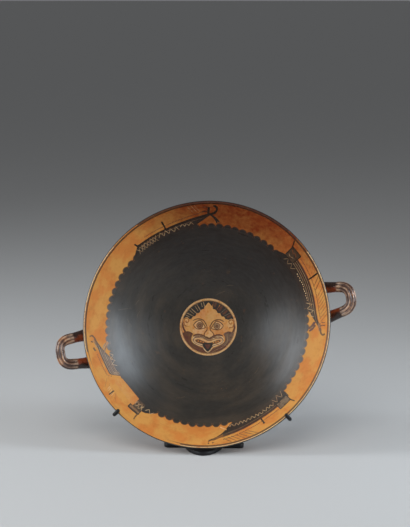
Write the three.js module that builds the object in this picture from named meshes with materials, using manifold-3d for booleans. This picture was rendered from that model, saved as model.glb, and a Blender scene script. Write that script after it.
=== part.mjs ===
// A black-figure drinking cup (kylix) leaning back in a black steel display stand, mouth forward.
// Millimetres, +Z up, mouth towards -Y. The cup is drawn standing on its foot and then leaned into the stand.
import * as THREE from "three";
import { mergeVertices } from "three/addons/utils/BufferGeometryUtils.js";
import Module from "manifold-3d";

const wasm = await Module();
wasm.setup();

// Bowl of the cup
const RIM_RADIUS = 160;
const CUP_HEIGHT = 130;
const BOWL_DEPTH = 86;
const FLOOR_THICKNESS = 6;
const LIP_THICKNESS = 3.4;

// Stem and foot of the cup
const FILLET_RING = { radius: 20.5, height: 34.5, half: 2 };
const STEM = { radius: 15.5, height: 27 };
const FOOT = { radius: 59, edge: 10, crown: 12.5, shoulder: 19 };
const FOOT_HOLLOW = { radius: 50, step: 3.5, neck: 12, neckHeight: 14, top: 22 };

// Handles of the cup, two hand-made loops opposite each other, not quite alike: half the distance between
// the legs at the root and at the tip, how far out the tip is, the reeds' radius, and how far down it sits
const HANDLE = { radius: 6.7, bend: 13, rise: 26 };
const HANDLE_ROOT = { out: 131, height: 92.5, buried: 46 };
const RIGHT_HANDLE = { rootHalf: 24, tipHalf: 14, tip: 189.3, reed: 7, drop: 0.7 };
const LEFT_HANDLE = { rootHalf: 20.7, tipHalf: 15.5, tip: 192.4, reed: 6.4, drop: 1.9 };
const REEDING = { reeds: 8, depth: 1, start: 175.5 };
const HANDLE_TURN = 10.7;

// The bowl is pulled slightly oval, more so towards its rim; the direction is seen from the front, from +X
const OVAL = { share: 0.0115, direction: 46.4, from: 40 };

// How the stand holds the cup
const LEAN = 15;
const RIM_CLEARANCE = 9;
const CLIP_ANGLES = { left: -45, right: 41.7 };
const FIT_GAP = 0.9;

// Stand
const FORK = { rod: 3, height: 28.5, prong: 17 };
const ARM = { rod: 2.5, wallGap: 0.9, leave: 46, join: 74, hookReach: 2.6 };
const POST_RADIUS = 4.5;
const BASE = { thickness: 5, halfWidth: 30, front: 42.5, back: 115, shift: -3.2 };
const CROSS_BAR = { half: 52, radius: 7, front: 8.7 };

// Facets
const LATHE_SIDES = 64;
const ROD_SIDES = 8;
const HANDLE_SIDES = 12;

const rad = THREE.MathUtils.degToRad;

// A closed geometry as a solid that can be joined and cut.
function solid(geometry) {
  const bare = geometry.clone();
  bare.deleteAttribute("normal");
  bare.deleteAttribute("uv");
  const merged = mergeVertices(bare, 1e-3);
  const corners = merged.index.array;
  const triVerts = [];
  for (let i = 0; i < corners.length; i += 3) {
    const [a, b, c] = corners.slice(i, i + 3);
    if (a !== b && b !== c && c !== a) triVerts.push(a, b, c);
  }
  const vertProperties = merged.attributes.position.array;
  const mesh = new wasm.Mesh({ numProp: 3, vertProperties, triVerts: new Uint32Array(triVerts) });
  return new wasm.Manifold(mesh);
}

// A joined or cut solid as a geometry again.
function geometryOf(shape) {
  const mesh = shape.getMesh();
  const made = new THREE.BufferGeometry();
  made.setAttribute("position", new THREE.BufferAttribute(mesh.vertProperties, 3));
  made.setIndex(new THREE.BufferAttribute(mesh.triVerts, 1));
  made.computeVertexNormals();
  return made;
}

// A turned form about Z from [radius, height] points, bottom to top up the outside.
function turned(profile) {
  const points = profile.map(([radius, height]) => new THREE.Vector2(radius, height));
  return new THREE.LatheGeometry(points, LATHE_SIDES).rotateX(Math.PI / 2);
}

// A bar of one section along a curve.
function bar(section, curve, steps, sides) {
  const settings = { steps, extrudePath: curve, curveSegments: sides / 2, bevelEnabled: false };
  return solid(new THREE.ExtrudeGeometry(section, settings));
}

function roundSection(radius) {
  return new THREE.Shape().absarc(0, 0, radius, 0, 2 * Math.PI, false);
}

// A point of the cup's frame moved out or in as the bowl is pulled oval along a direction.
function pulledOval(point, direction) {
  const share = OVAL.share * THREE.MathUtils.clamp((point.z - OVAL.from) / (CUP_HEIGHT - OVAL.from), 0, 1);
  const along = new THREE.Vector3(Math.cos(rad(direction)), Math.sin(rad(direction)), 0);
  const across = new THREE.Vector3(-along.y, along.x, 0);
  const [out, side] = [point.dot(along), point.dot(across)];
  return point.addScaledVector(along, share * out).addScaledVector(across, -share * side);
}

// Radius of the sphere whose cap has this rim radius and this depth.
function capRadius(rim, depth) {
  return (rim * rim + depth * depth) / (2 * depth);
}

// A spherical bowl surface: its lowest height, its sphere's radius and the angle from the axis to its rim.
function bowlSurface(rim, depth, bottom) {
  const radius = capRadius(rim, depth);
  const rimAngle = Math.asin(rim / radius);
  const point = (angle) => [radius * Math.sin(angle), bottom + radius * (1 - Math.cos(angle))];
  return { radius, bottom, rimAngle, point };
}

const LIP_HALF = LIP_THICKNESS / 2;
const LIP_CENTRE = [RIM_RADIUS - LIP_HALF, CUP_HEIGHT - LIP_HALF];
const FLOOR_TOP = CUP_HEIGHT - BOWL_DEPTH;
const INSIDE = bowlSurface(RIM_RADIUS - LIP_THICKNESS, LIP_CENTRE[1] - FLOOR_TOP, FLOOR_TOP);
const FLOOR_UNDER = FLOOR_TOP - FLOOR_THICKNESS;
const OUTSIDE = bowlSurface(RIM_RADIUS, LIP_CENTRE[1] - FLOOR_UNDER, FLOOR_UNDER);

// Points of an arc: centre, radius, first and last angle in degrees.
function arc([x, y], radius, from, to, steps) {
  return Array.from({ length: steps + 1 }, (_, i) => {
    const angle = rad(from + ((to - from) * i) / steps);
    return [x + radius * Math.cos(angle), y + radius * Math.sin(angle)];
  });
}

// The hollow foot from its top inside to the fillet ring under the bowl.
function footProfile() {
  const { radius, edge, crown, shoulder } = FOOT;
  const { radius: ring, height: ringHeight, half } = FILLET_RING;
  const flare = new THREE.CubicBezierCurve(
    new THREE.Vector2(radius - 4, crown),
    new THREE.Vector2(radius / 2, shoulder - 3),
    new THREE.Vector2(STEM.radius, shoulder),
    new THREE.Vector2(STEM.radius, STEM.height),
  );
  return [
    [0, FOOT_HOLLOW.top],
    [FOOT_HOLLOW.neck * 0.6, FOOT_HOLLOW.top - 1.5],
    [FOOT_HOLLOW.neck, FOOT_HOLLOW.neckHeight],
    [FOOT_HOLLOW.radius - 4, FOOT_HOLLOW.step],
    [FOOT_HOLLOW.radius, 0],
    [radius - 1.5, 0],
    [radius, 1.5],
    [radius, edge],
    ...flare.getPoints(6).map(({ x, y }) => [x, y]),
    [STEM.radius + 1, ringHeight - half - 1.5],
    ...arc([ring - half, ringHeight], half, -80, 80, 3),
  ];
}

// The whole turned cup, without its handles.
function turnedCup() {
  const outsideStart = Math.asin((FILLET_RING.radius + 2) / OUTSIDE.radius);
  const outer = [];
  const inner = [];
  const steps = 10;
  for (let i = 0; i < steps; i += 1) {
    const share = i / steps;
    outer.push(OUTSIDE.point(outsideStart + (OUTSIDE.rimAngle - outsideStart) * share));
    inner.unshift(INSIDE.point(INSIDE.rimAngle * share));
  }
  return solid(turned([...footProfile(), ...outer, ...arc(LIP_CENTRE, LIP_HALF, 0, 180, 4), ...inner]));
}

// Everything above the middle of the bowl's wall, used to end the handles inside the clay.
function aboveMidWall() {
  const middle = bowlSurface(
    RIM_RADIUS - LIP_HALF,
    LIP_CENTRE[1] - FLOOR_TOP + FLOOR_THICKNESS / 2,
    FLOOR_TOP - FLOOR_THICKNESS / 2,
  );
  const points = Array.from({ length: 13 }, (_, i) => middle.point((middle.rimAngle * i) / 12));
  const top = 2 * CUP_HEIGHT;
  return solid(turned([...points, [points[12][0], top], [0, top]]));
}

// A point on the plane of a handle that goes out to +X, rising from its roots on the bowl.
function handlePoint(out, side) {
  const climb = (out - HANDLE_ROOT.out) * Math.tan(rad(HANDLE.rise));
  return new THREE.Vector3(out, side, HANDLE_ROOT.height + climb);
}

// Half the distance between the two legs of a handle.
function legSpacing({ rootHalf, tipHalf, tip }, out) {
  const share = (out - HANDLE_ROOT.out) / (tip - HANDLE_ROOT.out);
  return THREE.MathUtils.lerp(rootHalf, tipHalf, share);
}

// One smooth leg, from inside the bowl to where the reeding begins.
function leg(handle, side) {
  const at = (out) => handlePoint(out, side * legSpacing(handle, out));
  const line = new THREE.LineCurve3(at(HANDLE_ROOT.out - HANDLE_ROOT.buried), at(REEDING.start + 1));
  return bar(roundSection(HANDLE.radius), line, 1, HANDLE_SIDES);
}

// Section of the reeded outer loop of a handle: rounded reeds with a groove between each two.
function reededSection(crest) {
  const points = Array.from({ length: 2 * REEDING.reeds }, (_, i) => {
    const radius = i % 2 ? crest - REEDING.depth : crest;
    const angle = (Math.PI * i) / REEDING.reeds;
    return new THREE.Vector2(radius * Math.cos(angle), radius * Math.sin(angle));
  });
  return new THREE.Shape(points);
}

// The outer loop: two leg ends, two round corners and the bar between them.
function reededLoop(handle) {
  const { tip, tipHalf, reed } = handle;
  const corner = tip - HANDLE.bend;
  const inner = tipHalf - HANDLE.bend;
  const curve = new THREE.CurvePath();
  const startAt = (side) => handlePoint(REEDING.start, side * legSpacing(handle, REEDING.start));
  const cornerAt = (side) => handlePoint(corner, side * legSpacing(handle, corner));
  const tipAt = (side) => handlePoint(tip, side * tipHalf);
  const innerAt = (side) => handlePoint(tip, side * inner);
  curve.add(new THREE.LineCurve3(startAt(1), cornerAt(1)));
  curve.add(new THREE.QuadraticBezierCurve3(cornerAt(1), tipAt(1), innerAt(1)));
  curve.add(new THREE.LineCurve3(innerAt(1), innerAt(-1)));
  curve.add(new THREE.QuadraticBezierCurve3(innerAt(-1), tipAt(-1), cornerAt(-1)));
  curve.add(new THREE.LineCurve3(cornerAt(-1), startAt(-1)));
  return bar(reededSection(reed), curve, 20, HANDLE_SIDES);
}

// A whole handle going out at an angle round the cup, set a little below its middle line.
function handle(shape, turn) {
  const loop = leg(shape, 1).add(leg(shape, -1)).add(reededLoop(shape));
  return loop.rotate([0, 0, turn]).translate([0, -shape.drop, 0]);
}

// Both handles, ended inside the bowl's wall.
function handles() {
  return handle(RIGHT_HANDLE, 0).add(handle(LEFT_HANDLE, 180)).subtract(aboveMidWall());
}

function cup() {
  const made = geometryOf(turnedCup().add(handles()));
  const corners = made.attributes.position;
  for (let i = 0; i < corners.count; i += 1) {
    const corner = new THREE.Vector3().fromBufferAttribute(corners, i);
    corners.setXYZ(i, ...pulledOval(corner, OVAL.direction - HANDLE_TURN));
  }
  return made;
}

// Fork round the stem: a rod bent into a U, open upwards, in the cup's own frame.
function fork() {
  const reach = STEM.radius + FORK.rod + FIT_GAP;
  const at = (x, y) => new THREE.Vector3(x, y, FORK.height);
  const bow = arc([0, 0], reach, 180, 360, 10).map(([x, y]) => at(x, y));
  const curve = new THREE.CatmullRomCurve3([at(-reach, FORK.prong), ...bow, at(reach, FORK.prong)]);
  return bar(roundSection(FORK.rod), curve, 24, ROD_SIDES);
}

// One arm: from the fork, close under the bowl, to a hook over the lip, at an angle from straight down.
function arm(angle) {
  const wall = OUTSIDE.radius + ARM.rod + ARM.wallGap;
  const centre = OUTSIDE.bottom + OUTSIDE.radius;
  const turn = rad(angle - 90);
  const at = (out, height) => new THREE.Vector3(out * Math.cos(turn), out * Math.sin(turn), height);
  const under = (out) => at(out, centre - Math.sqrt(wall * wall - out * out));
  const side = RIM_RADIUS + ARM.rod + FIT_GAP;
  const front = CUP_HEIGHT + ARM.rod + FIT_GAP;
  const tip = pulledOval(at(RIM_RADIUS - ARM.hookReach, front), OVAL.direction);
  const route = [
    at(STEM.radius + FORK.rod + FIT_GAP, FORK.height),
    at(ARM.leave, FORK.height + 2),
    ...[0, 1 / 3, 2 / 3, 1].map((share) => under(ARM.join + (RIM_RADIUS - 6 - ARM.join) * share)),
    at(side, LIP_CENTRE[1] - 2),
    at(side - 0.4, front - 1.6),
  ].map((point) => pulledOval(point, OVAL.direction));
  const end = new THREE.SphereGeometry(ARM.rod, ROD_SIDES, 6).translate(...tip);
  const curve = new THREE.CatmullRomCurve3([...route, tip]);
  return bar(roundSection(ARM.rod), curve, 30, ROD_SIDES).add(solid(end));
}

// Turn and place the leaned cup: its lowest rim point hangs clear of the ground, mouth forward.
const leaned = new THREE.Group();
leaned.rotation.x = rad(90 - LEAN);
leaned.position.z = RIM_CLEARANCE + RIM_RADIUS * Math.cos(rad(LEAN)) - LIP_CENTRE[1] * Math.sin(rad(LEAN));
leaned.updateMatrix();

// Post from the fork straight down the lean, into the base.
function post() {
  const under = STEM.radius + FORK.rod + FIT_GAP + 2;
  const top = new THREE.Vector3(0, -under, FORK.height).applyMatrix4(leaned.matrix);
  const down = new THREE.Vector3(0, -1, 0).transformDirection(leaned.matrix);
  const foot = top.clone().addScaledVector(down, (BASE.thickness / 2 - top.z) / down.z);
  return bar(roundSection(POST_RADIUS), new THREE.LineCurve3(top, foot), 1, HANDLE_SIDES);
}

// Base plate: a long oval under the cup's weight and a cross bar that steadies it sideways.
function base() {
  const rimY = new THREE.Vector3(0, 0, CUP_HEIGHT).applyMatrix4(leaned.matrix).y;
  const halfLength = (BASE.front + BASE.back) / 2;
  const oval = new THREE.Shape().absellipse(
    BASE.shift, rimY + BASE.back - halfLength, BASE.halfWidth, halfLength, 0, 2 * Math.PI, false, 0,
  );
  const { half, radius, front } = CROSS_BAR;
  const barY = rimY - front + radius;
  const cross = new THREE.Shape();
  cross.absarc(BASE.shift + half - radius, barY, radius, -Math.PI / 2, Math.PI / 2, false);
  cross.absarc(BASE.shift + radius - half, barY, radius, Math.PI / 2, (3 * Math.PI) / 2, false);
  const plate = { depth: BASE.thickness, curveSegments: 12, bevelEnabled: false };
  return solid(new THREE.ExtrudeGeometry(oval, plate)).add(solid(new THREE.ExtrudeGeometry(cross, plate)));
}

// The stand is brazed into one piece: fork and arms in the cup's frame, post and base on the ground.
function stand() {
  const held = fork().add(arm(CLIP_ANGLES.left)).add(arm(CLIP_ANGLES.right));
  const placed = held.transform(leaned.matrix.toArray());
  return placed.add(post()).add(base());
}

const clay = new THREE.MeshStandardMaterial({ color: 0x2a2622, roughness: 0.42, metalness: 0 });
const blackSteel = new THREE.MeshStandardMaterial({ color: 0x0d0d0e, roughness: 0.55, metalness: 0.2 });

const kylix = new THREE.Mesh(cup(), clay);
kylix.name = "kylix";
kylix.rotation.z = rad(HANDLE_TURN);
leaned.add(kylix);

const displayStand = new THREE.Mesh(geometryOf(stand()), blackSteel);
displayStand.name = "display_stand";

// Origin on the ground, under the middle of the whole object.
const object = new THREE.Group();
object.add(leaned, displayStand);
const extent = new THREE.Box3().setFromObject(object, true);
const middle = extent.getCenter(new THREE.Vector3());
object.position.set(-middle.x, -middle.y, -extent.min.z);

export default object;
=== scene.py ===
import math
import random

import bmesh
import bpy
from mathutils import Matrix, Vector
from mathutils.geometry import delaunay_2d_cdt
from mathutils.kdtree import KDTree


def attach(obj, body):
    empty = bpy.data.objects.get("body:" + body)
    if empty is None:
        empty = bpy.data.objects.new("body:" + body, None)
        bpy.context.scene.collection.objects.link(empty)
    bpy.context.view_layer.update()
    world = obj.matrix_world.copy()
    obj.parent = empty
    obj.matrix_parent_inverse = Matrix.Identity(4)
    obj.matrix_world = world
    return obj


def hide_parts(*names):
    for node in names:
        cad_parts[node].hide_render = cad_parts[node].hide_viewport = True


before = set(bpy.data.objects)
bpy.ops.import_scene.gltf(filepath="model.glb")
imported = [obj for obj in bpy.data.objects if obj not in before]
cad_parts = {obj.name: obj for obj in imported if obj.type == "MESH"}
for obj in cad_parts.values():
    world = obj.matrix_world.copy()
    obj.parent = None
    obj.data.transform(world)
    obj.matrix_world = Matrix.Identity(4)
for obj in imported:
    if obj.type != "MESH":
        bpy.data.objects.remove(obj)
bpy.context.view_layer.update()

scene = bpy.context.scene

# Camera. A long lens looks almost straight into the mouth of the cup, from a little above
# and a little to the right, with the cup in the lower half of the picture.
VIEW_AZIMUTH = math.radians(1.86)
VIEW_ELEVATION = math.radians(10.05)
VIEW_DISTANCE = 1.9
VIEW_AIM = Vector((-0.0007, -0.049, 0.2428))
LENS_MM = 101.4

towards_camera = Vector((
    math.sin(VIEW_AZIMUTH) * math.cos(VIEW_ELEVATION),
    -math.cos(VIEW_AZIMUTH) * math.cos(VIEW_ELEVATION),
    math.sin(VIEW_ELEVATION),
))
camera = bpy.data.objects.new("camera", bpy.data.cameras.new("camera"))
camera.data.lens = LENS_MM
camera.data.clip_end = 5000
camera.location = VIEW_AIM + towards_camera * VIEW_DISTANCE
camera.rotation_euler = towards_camera.to_track_quat("Z", "Y").to_euler()
scene.collection.objects.link(camera)
scene.camera = camera


# Painting inside the bowl. The potter's clay fires orange; the painter brushes on a finer slip that fires
# black and glossy, then touches of purple-red and cream. It is all flush with the wall.
# It is drawn flat, in millimetres, as seen from straight above the mouth, +Y being up as the cup is shown.
LIP_INNER_RADIUS = 156.6
LIP_LINE_RADIUS = 155.7
BAND_RADIUS = 140.0
SEA_RADIUS = 131.3
TURN_SIDES = 192

# Each paint is the share of black slip, of added red and of added cream.
PAINTS = {
    "clay": (0.0, 0.0, 0.0),
    "fill": (0.0, 0.06, 0.06),
    "worn_lip": (0.08, 0.10, 0.62),
    "gloss": (1.0, 0.0, 0.0),
    "hull": (0.985, 0.04, 0.0),
    "strake": (0.74, 0.16, 0.26),
    "plum": (0.70, 0.46, 0.14),
    "oxblood": (0.80, 0.66, 0.0),
    "castle": (0.97, 0.34, 0.18),
    "dark_castle": (0.95, 0.05, 0.03),
    "oar": (0.64, 0.06, 0.40),
    "scallop": (0.84, 0.10, 0.0),
    "thin": (0.78, 0.10, 0.0),
    "dilute": (0.46, 0.22, 0.0),
    "faint": (0.22, 0.10, 0.0),
    "rail": (0.60, 0.42, 0.0),
    "scratch": (0.97, 0.0, 0.09),
    "red_line": (0.14, 0.86, 0.0),
    "cream": (0.40, 0.0, 0.75),
    "pale": (0.0, 0.0, 0.42),
    "blush": (0.0, 0.07, 0.12),
    "ear": (0.0, 0.05, 0.36),
    "ear_line": (0.10, 0.62, 0.0),
    "rosy": (0.02, 0.22, 0.44),
    "face": (0.0, 0.0, 0.19),
    "eye": (0.0, 0.0, 0.58),
    # Right half of the beard: its red greyed with cream, a painted sheen
    "beard": (0.92, 0.70, 0.13),
}

painting = []
hand = random.Random(11)


def flowing(points, closed=False, steps=4):
    """A smooth line through a few points."""
    knots = [Vector(point) for point in points]
    count = len(knots)
    line = []
    for i in range(count if closed else count - 1):
        if closed:
            a, b, c, d = (knots[(i + k) % count] for k in (-1, 0, 1, 2))
        else:
            a, b, c, d = (knots[min(max(i + k, 0), count - 1)] for k in (-1, 0, 1, 2))
        for k in range(steps):
            t = k / steps
            bend = (c - a) * t + (2 * a - 5 * b + 4 * c - d) * t ** 2 + (3 * b - a - 3 * c + d) * t ** 3
            line.append(b + bend / 2)
    if not closed:
        line.append(knots[-1])
    return line


def fill(points, paint, place=Vector, steps=4):
    """A brushed area with a flowing edge; steps=1 keeps its corners."""
    painting.append(([place(point) for point in flowing(points, True, steps)], paint))


def dab(centre, size, paint, place=Vector, sides=12):
    """A round or oval touch of the brush, of the given half width and half height."""
    turns = [2 * math.pi * k / sides for k in range(sides)]
    outline = [Vector((centre[0] + size[0] * math.cos(t), centre[1] + size[1] * math.sin(t))) for t in turns]
    painting.append(([place(point) for point in outline], paint))


def brush(points, width, paint, place=Vector, ends=(0.5, 0.3), steps=4):
    """One stroke along a line, a little uneven, thinner at its ends."""
    line = [place(point) for point in flowing(points, steps=steps)]
    last = len(line) - 1
    left, right = [], []
    for i, point in enumerate(line):
        share = i / last
        along = line[min(i + 1, last)] - line[max(i - 1, 0)]
        side = Vector((-along.y, along.x)).normalized()
        press = min(1, ends[0] + 5 * share, ends[1] + 5 * (1 - share))
        half = width / 2 * press * hand.uniform(0.85, 1.15)
        left.append(point + side * half)
        right.append(point - side * half)
    painting.append((left + right[::-1], paint))


def polar(radius, degrees):
    angle = math.radians(degrees)
    return Vector((radius * math.cos(angle), radius * math.sin(angle)))


def circle(radius):
    return [polar(radius, 360 * k / TURN_SIDES) for k in range(TURN_SIDES)]


painting.append((circle(LIP_INNER_RADIUS), "thin"))
painting.append((circle(LIP_LINE_RADIUS), "clay"))

# The thin dark line along the lip is gone at lower left, and fades at both ends of the gap
GAP_START, GAP_END = 193.0, 260.7
GAP_DEPTH, GAP_FADE = 1.2, 12.0
turns = [360 * k / TURN_SIDES for k in range(TURN_SIDES)]
turns = [turn for turn in turns if GAP_START < turn < GAP_END]
gap = [polar(LIP_INNER_RADIUS, turn) for turn in turns]
for turn in turns[-2:0:-1]:
    fade = min(1, (turn - GAP_START) / GAP_FADE, (GAP_END - turn) / GAP_FADE)
    gap.append(polar(LIP_INNER_RADIUS - GAP_DEPTH * fade, turn))
painting.append((gap, "clay"))
painting.append((circle(SEA_RADIUS), "gloss"))

# Waves: scalloped crests of black round the edge of the sea, their outer edge thin where the slip ran out.
WAVE_DEGREES = 4.65
WAVE_HEIGHT = 3.2
WAVE_START, WAVE_FOOT = SEA_RADIUS - 0.4, SEA_RADIUS - 2.5
OPEN_SEA = ((46.5, 97), (137, 199), (239, 283), (-39, 8))


def wave(degrees):
    """One crest of the sea: a thin wash with full black over its lower part."""
    height = WAVE_HEIGHT * hand.uniform(0.8, 1.1)
    lean = hand.uniform(-0.25, 0.35)
    for paint, size in (("scallop", 1.0), ("gloss", 0.62)):
        half = WAVE_DEGREES / 2 * 0.97 * size ** 0.5
        crest = [(share, (1 - abs(share) ** 2.2) ** 0.8) for share in (-1, -0.8, -0.45, 0, 0.45, 0.8, 1)]
        outline = [
            polar(WAVE_START + height * size * rise, degrees + half * share + lean * rise)
            for share, rise in crest
        ]
        foot = [polar(WAVE_FOOT, degrees + half * share) for share in (0.9, -0.9)]
        painting.append((outline + foot, paint))


for first, last in OPEN_SEA:
    for k in range(1 + round((last - first) / WAVE_DEGREES)):
        wave(first + WAVE_DEGREES * k)

# Ships: four long galleys follow each other round the band, keels towards the middle of the cup. Each has a
# low dark hull, a dotted rail, a bare mast with its stays, a raised stern, steering oars and a bank of oars
# over the sea; three have a boxed forecastle. A place on a ship is how far aft of its bow and how far out.
HULL_STEPS = 24
RAIL_PITCH, RAIL_HEIGHT = 2, 3.2


def on_ship(bow):
    """Places on the ship whose bow is at this many degrees round the cup."""
    return lambda point: polar(point[1], bow - math.degrees(point[0] / BAND_RADIUS))


def between(stops, aft):
    """Value at a distance aft, between the stops on each side of it."""
    for (a, low), (b, high) in zip(stops, stops[1:]):
        if aft <= b:
            return low + (high - low) * max(0, aft - a) / (b - a)
    return stops[-1][1]


def hull(place, sheer, keel, strakes, rail):
    """The hull between its two edges, its strakes at depths below the upper one, and a dotted rail."""
    start, end = sheer[0][0], sheer[-1][0]
    steps = [start + (end - start) * k / HULL_STEPS for k in range(HULL_STEPS + 1)]
    top = [(aft, between(sheer, aft)) for aft in steps]
    bottom = [(aft, between(keel, aft)) for aft in steps]
    fill(top + bottom[::-1], "hull", place, 2)
    for depth, width, paint in strakes:
        line = [(aft, high - depth) for (aft, high), (_, low) in zip(top, bottom) if high - low > depth + 0.6]
        brush(line, width, paint, place, (1, 0.3), 2)
    first, last = rail
    for k in range(int((last - first) / RAIL_PITCH)):
        aft = first + RAIL_PITCH * k + hand.uniform(-0.2, 0.2)
        dab((aft, between(sheer, aft) + RAIL_HEIGHT), (0.9, 0.6), "rail", place, 6)


def castle(place, near, far, low, high, paint):
    """The boxed forecastle, with dark edges."""
    box = [(near, low), (near, high), (far, high), (far, low)]
    fill(box, paint, place, 1)
    for a, b in zip(box, box[1:]):
        brush([a, b], 1.0, "gloss", place, (1, 1))


def stays(place, first, last, pitch, outer, inner, paint, slant=6.5):
    """Slanting lines of the rigging."""
    for k in range(1 + int((last - first) / pitch)):
        aft = first + pitch * k + hand.uniform(-0.5, 0.5)
        brush([(aft, outer), (aft + slant, inner)], 0.75, paint, place, (0.7, 0.4))


def oars(place, first, last, high, low, pitch, width=0.75, paint="oar", crossed=False):
    """Slanting strokes, one way and the other; crossed ones make a lattice."""
    for k in range(int((last - first) / pitch)):
        aft = first + pitch * k + hand.uniform(-0.5, 0.5)
        lift = hand.uniform(-0.6, 0.6)
        if crossed or k % 2:
            brush([(aft, high + lift), (aft + pitch, low + lift)], width, paint, place)
        if crossed or not k % 2:
            brush([(aft + pitch, high - lift), (aft, low - lift)], width, paint, place)


def strokes(place, *lines):
    """Single strokes of the brush, each a line of points, a width and a paint."""
    for points, width, paint in lines:
        brush(points, width, paint, place, (1, 0.5))


ship = on_ship(132.5)
hull(ship,
     ((0, 139.4), (21, 138.6), (45, 138.2), (70, 139.6), (89, 142.2), (101, 144.6), (106, 145.2)),
     ((0, 129), (82, 130), (86, 132.6), (95, 136.8), (102, 141), (106, 143.6)),
     ((3.4, 0.5, "plum"),), (16, 101))
stays(ship, 78, 86, 4, 155.5, 147.5, "face")
fill([(3, 139), (-3, 136.8), (-9, 133.6), (-15, 130.8), (-10, 129.4), (3, 129)], "gloss", ship)
oars(ship, -3, 31, 136.6, 129.6, 4.6, paint="strake", crossed=True)
oars(ship, 31, 64, 136.4, 131, 3.9)
oars(ship, 64, 84, 136.4, 133.6, 3.2)
for aft in (7, 16, 27, 38, 49, 57):
    dab((aft, 134.6), (1.5, 1.0), "plum", ship, 8)
strokes(
    ship,
    ([(1, 137.6), (0.4, 140.6), (-0.6, 143)], 2.2, "gloss"),
    ([(44.6, 138), (44.2, 143), (43.4, 147.8)], 2.4, "gloss"),
    ([(103.6, 143.6), (103.4, 148), (104, 152.6)], 3.2, "hull"),
    ([(105, 144), (110, 145.4), (113.4, 148.4), (113.2, 152), (109, 154)], 2.6, "gloss"),
    ([(95, 147.4), (99, 147.6), (103, 147.2)], 1.3, "thin"),
    ([(97, 152.4), (100, 152.6), (103, 151.6)], 1.1, "thin"),
    ([(105.5, 144), (112, 140), (118.5, 135.4)], 2.2, "gloss"),
    ([(111, 140), (113.4, 137.4), (115.4, 134)], 2.0, "gloss"),
)

ship = on_ship(43)
hull(ship,
     ((6, 144), (17, 144.4), (46, 144), (72, 143.2), (90, 143), (100, 144.4), (108, 147.2)),
     ((6, 129), (80, 130), (86, 133.8), (97, 138.4), (108, 144.6)),
     ((0.5, 1.3, "oxblood"), (2.5, 0.7, "strake"), (4.8, 0.8, "plum"), (7.0, 0.6, "strake")), (20, 100))
fill([(9, 138), (2, 137), (-3, 135.4), (-8, 133.6), (-12, 131.6), (-8, 129.8), (9, 129)], "gloss", ship)
castle(ship, 1.6, 17.6, 137, 149.2, "dark_castle")
stays(ship, 22, 40, 6, 155.8, 149, "faint", 9)
stays(ship, 49, 58, 4.6, 155.8, 146.6, "thin", 9)
stays(ship, 62, 96, 4.6, 155.8, 147, "dilute", 9)
oars(ship, 4, 30, 136, 131, 4.4, 0.5, "strake")
for k in range(13):
    dab((33 + 3.2 * k, 134.6 + hand.uniform(-0.6, 0.6)), (0.9, 0.6), "cream", ship, 8)
oars(ship, 74, 98, 139.6, 132, 4.4, 0.8)
strokes(
    ship,
    ([(4, 146.6), (8, 144.6), (11, 146), (14, 143.6)], 0.8, "dilute"),
    ([(4, 141), (8, 139.4), (13, 141)], 0.8, "strake"),
    ([(1.4, 148.6), (0, 152), (-2.2, 155.4)], 1.5, "gloss"),
    ([(46.8, 144), (46.2, 150), (45.2, 156.2)], 2.1, "gloss"),
    ([(104, 145.6), (110, 146.6), (114, 147.8)], 3.4, "plum"),
    ([(110, 147), (116, 148.4), (118.6, 151), (117, 153.6)], 2.2, "thin"),
    ([(107.6, 147), (107, 150), (107.4, 153.4)], 1.6, "rail"),
    ([(103, 148.6), (104, 151), (103.6, 153)], 1.3, "rail"),
    ([(102, 140.6), (107, 137), (110.6, 132.6)], 3.0, "oxblood"),
    ([(106, 141), (110.4, 138), (114, 133.6)], 2.4, "oxblood"),
)

ship = on_ship(-40.5)
hull(ship,
     ((0, 141.6), (18, 142), (40, 141.8), (64, 143.2), (88, 146), (101, 147.8), (109, 148.8), (116, 150)),
     ((0, 129), (82, 130.5), (90, 135), (97, 141), (104, 145.2), (116, 149.4)),
     ((0.6, 1.4, "oxblood"), (3.0, 0.5, "plum")), (22, 100))
castle(ship, 2.2, 19.6, 137.6, 146.6, "castle")
stays(ship, 57, 90, 5.4, 155.4, 148, "thin", 10)
oars(ship, 3, 21, 137, 129.6, 4.4, paint="strake")
oars(ship, 21, 92, 137, 133.4, 2.9)
strokes(
    ship,
    ([(2.4, 138), (10, 137.8), (19, 138)], 2.0, "gloss"),
    ([(2.8, 146.6), (1.4, 149.6), (0.4, 152)], 1.5, "gloss"),
    ([(46.2, 142), (45.8, 145.4), (45.4, 148.6)], 2.2, "gloss"),
    ([(43.8, 148), (45.4, 149), (47, 148.4)], 1.2, "thin"),
    ([(98, 145), (105, 147.4), (112, 149.4)], 2.6, "rail"),
    ([(107, 148.8), (113, 149.8), (117, 151.4)], 1.4, "thin"),
    ([(115.4, 153), (116.2, 153.6), (116.8, 154)], 1.7, "thin"),
    ([(110.4, 152.4), (111.2, 153), (111.8, 153.4)], 1.6, "thin"),
    ([(93, 139), (97, 137), (101, 134.4)], 1.6, "pale"),
)

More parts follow.
